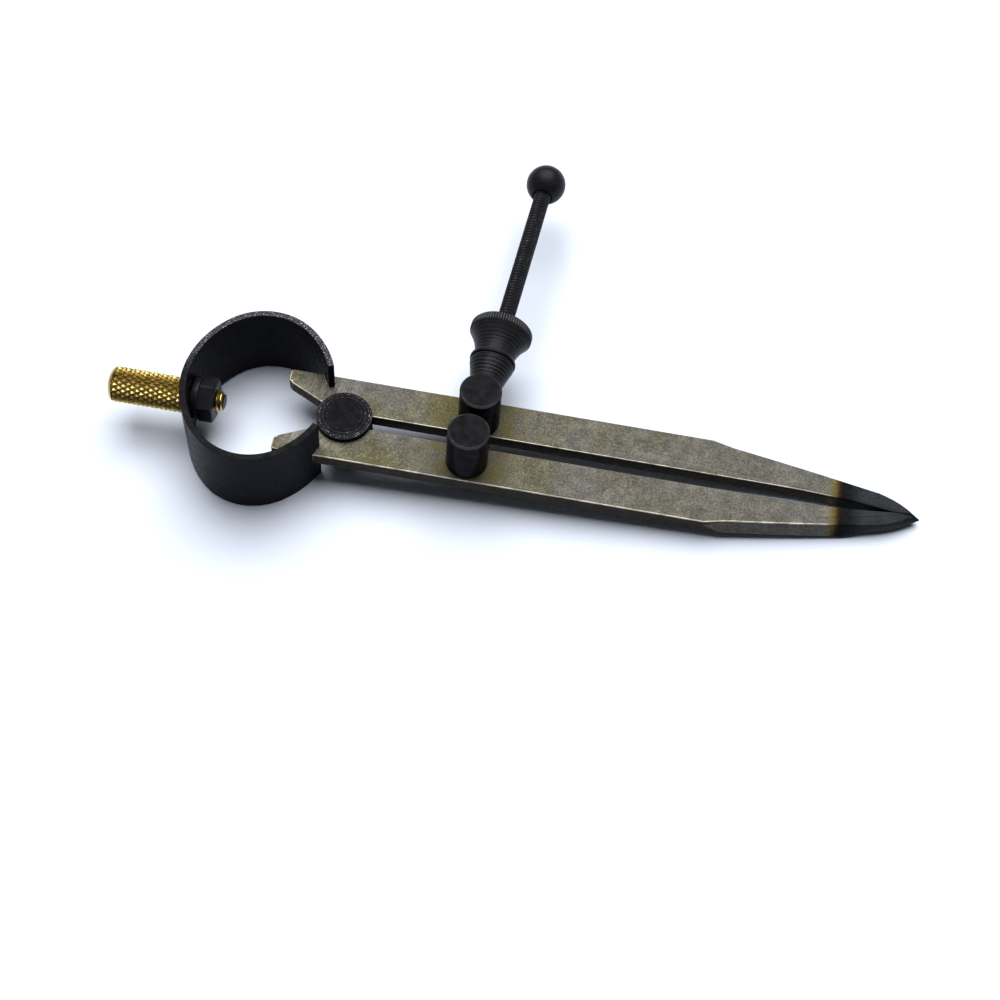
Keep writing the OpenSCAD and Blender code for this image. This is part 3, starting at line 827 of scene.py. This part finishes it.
def make_nut():
    """The adjusting nut: a hollow flare with turning rings between a foot collar and a knurled rim."""
    middle = EDGE_MIDDLE * FOOT_EDGE
    foot = [(FOOT_R - FOOT_EDGE, 0), (FOOT_R - middle, middle), (FOOT_R, FOOT_EDGE),
            (FOOT_R, FOOT_LEN - FOOT_EDGE), (FOOT_R - middle, FOOT_LEN - FOOT_BREAK, FOOT_WEAR),
            (FOOT_R - FOOT_EDGE, FOOT_LEN, FOOT_WEAR), (FLARE_LOW_R, FOOT_LEN + FLARE_LIFT)]
    chord = math.dist((FLARE_LOW_R, FOOT_LEN), (FLARE_HIGH_R, FLARE_END))
    sag = FLARE_HOLLOW - math.sqrt(FLARE_HOLLOW**2 - chord**2 / 4)
    count = round(chord / RING_STEP) * 2
    flare = []
    for k in range(1, count):
        share = k / count
        hollow = 4 * sag * share * (1 - share) + RING_DEEP * (k % 2)
        flare.append((FLARE_LOW_R + (FLARE_HIGH_R - FLARE_LOW_R) * share - hollow,
                      FOOT_LEN + (FLARE_END - FOOT_LEN) * share, FLARE_WEAR * ring_wear(k)))
    rim = stepped([(FLARE_HIGH_R, FLARE_END), (RIM_R, FLARE_END + RIM_EDGE), (RIM_R, RIM_END - RIM_EDGE),
                   (RIM_R - RIM_EDGE, RIM_END)], FINE_STEP)
    well = [(RIM_R - RIM_FLAT, RIM_END), (NUT_BORE_R + WELL_LEDGE, RIM_END - WELL_DEEP),
            (NUT_BORE_R, RIM_END - WELL_DEEP)]
    outline = [(NUT_BORE_R, 0), *foot, *flare, *rim, *well, (NUT_BORE_R, 0)]
    piece = turned("flared_nut", outline, TOOTH_SIDES * TEETH, ringed)
    carve(piece, depth=TOOTH_DEEP * MM, grooves=float(TEETH), lean=0.0, counter_lean=0.0,
          low=(FLARE_END + TOOTH_MARGIN) * MM, high=(RIM_END - TOOTH_MARGIN) * MM, finish=ringed)
    smooth(piece, SHARP_FITTING)
    put(piece, screw_from + screw_line * NUT_AT * MM, screw_line)
    stand_for(piece, "adjusting_nut", "nut")


def make_seat():
    """The conical washer that seats the nut against the far post, with turning rings on its cone."""
    cone_end = SEAT_LEN - SEAT_STRAIGHT - CONE_STEP[1]
    count = round((cone_end - NOSE_LEN) / RING_STEP) * 2
    cone = []
    for k in range(1, count + 1):
        share = k / count
        cone.append((NOSE_R + (SEAT_R - CONE_STEP[0] - NOSE_R) * share - RING_DEEP * (k % 2),
                     NOSE_LEN + (cone_end - NOSE_LEN) * share, CONE_WEAR * ring_wear(k)))
    middle = EDGE_MIDDLE * SEAT_EDGE
    outline = [(SEAT_BORE_R, 0), (NOSE_R, 0), (NOSE_R, NOSE_LEN), *cone,
               (SEAT_R, SEAT_LEN - SEAT_STRAIGHT, SEAT_EDGE_WEAR), (SEAT_R, SEAT_LEN - SEAT_EDGE),
               (SEAT_R - middle, SEAT_LEN - middle, SEAT_EDGE_WEAR), (SEAT_R - SEAT_EDGE, SEAT_LEN),
               (SEAT_BORE_R, SEAT_LEN), (SEAT_BORE_R, 0)]
    piece = turned("cone_washer", outline, ROUND_SIDES, ringed)
    smooth(piece, SHARP_FITTING)
    put(piece, screw_from + screw_line * SEAT_AT * MM, screw_line)
    stand_for(piece, "seat_washer", "seat")


def make_floor():
    """The floor, leaning so that it meets the bow's lower edge half-way along and the legs just behind
    their points."""
    bow_low, bow_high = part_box("bow_spring")
    leg_low, leg_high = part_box("near_leg")
    back = Vector(((bow_low.x + bow_high.x) / 2, 0, bow_low.z))
    front = Vector((leg_high.x - POINT_LEN * MM, 0, leg_low.z))
    along = (front - back).normalized() * FLOOR_REACH
    across = Vector((0, FLOOR_REACH, 0))
    shape = bmesh.new()
    corners = [back + along * a + across * b for a, b in ((-1, -1), (1, -1), (1, 1), (-1, 1))]
    shape.faces.new([shape.verts.new(c) for c in corners])
    new_piece("floor", shape, pale_floor())


def make_camera():
    """The camera stands where the photograph was taken from."""
    lens = bpy.data.cameras.new("camera")
    lens.lens = LENS
    lens.sensor_width = SENSOR
    lens.clip_start = CAMERA_CLIP * MM
    camera = bpy.data.objects.new("camera", lens)
    look = Vector(CAMERA_LOOK).normalized()
    right = look.cross(Vector(CAMERA_UP)).normalized()
    turn = Matrix((right, right.cross(look), -look)).transposed().to_4x4()
    camera.matrix_world = Matrix.Translation(fulcrum_at + Vector(CAMERA_AT) * MM) @ turn
    bpy.context.scene.collection.objects.link(camera)
    bpy.context.scene.camera = camera


def make_light():
    """A dim room with a pale ceiling, and one wide soft box above and behind the tool."""
    world = bpy.data.worlds.new("pale_room")
    world.use_nodes = True
    sky = world.node_tree.nodes["Background"]
    sky.inputs["Color"].default_value = linear(ROOM_COLOUR)
    sky.inputs["Strength"].default_value = ROOM_STRENGTH
    bpy.context.scene.world = world
    for name, at, size, power in (
            ("soft_box", SOFT_AT, SOFT_SIZE, SOFT_POWER),
            ("pale_ceiling", CEILING_AT, CEILING_SIZE, CEILING_POWER)):
        soft = bpy.data.lights.new(name, "AREA")
        soft.size = size
        soft.energy = power
        light = bpy.data.objects.new(name, soft)
        light.location = fulcrum_at + Vector(at)
        light.rotation_mode = "QUATERNION"
        light.rotation_quaternion = (fulcrum_at - light.location).to_track_quat("-Z", "Y")
        bpy.context.scene.collection.objects.link(light)
    bpy.context.scene.view_settings.view_transform = "Standard"


steel = ground_steel()

# The bow's faces: smooth and even, with a faint sheen along the bend
strip = black_steel("black_oxide_spring_strip", ("#1e1e23", "#222229"),
                    rough=0.26, shine=0.016, thin=0.0, bare=0.06, chip=0.14)

# The roller and the bow's rims: deep black and dull, speckled with bare metal where they are worn
satin = black_steel("black_oxide_turned_steel", ("#0d0d10", "#18181b"),
                    rough=0.46, shine=0.02, thin=0.1, bare=0.06, chip=0.2)

# The hexagon nut, its washer and the ball: a paler black with a soft light on each face
plain = black_steel("black_oxide_plain_steel", ("#17171b", "#202024"),
                    rough=0.36, shine=0.1, thin=0.04, bare=0.03, chip=0.2)

# The adjusting nut and its washer: deep black, with rings that are rubbed thin
ringed = black_steel("black_oxide_ringed_steel", ("#0c0c0f", "#18181b"),
                     rough=0.36, shine=0.06, thin=0.26, bare=-0.04, chip=0.3)

# The posts: the smoothest black, with a bright line of wear round their tops and a painted highlight in
# front
gloss = black_steel("black_oxide_polished_steel", ("#0b0a0d", "#1d1c20"),
                    rough=0.22, shine=0.016, thin=0.35, bare=0.05, chip=0.3)

# The screw: a grey-black with paler crests
thread = black_steel("black_oxide_rolled_thread", ("#17171a", "#262629"),
                     rough=0.4, shine=0.12, thin=0.12, bare=0.0, chip=0.5)

brass = knurled_brass()
grooves = groove_tree()

make_camera()
make_light()
make_floor()
make_leg("near_leg", "near_leg_body")
make_leg("far_leg", "far_leg_body")
make_bow()
make_fulcrum()
make_handle()
make_hex_nut()
make_lock_washer()
make_posts()
make_screw()
make_nut()
make_seat()
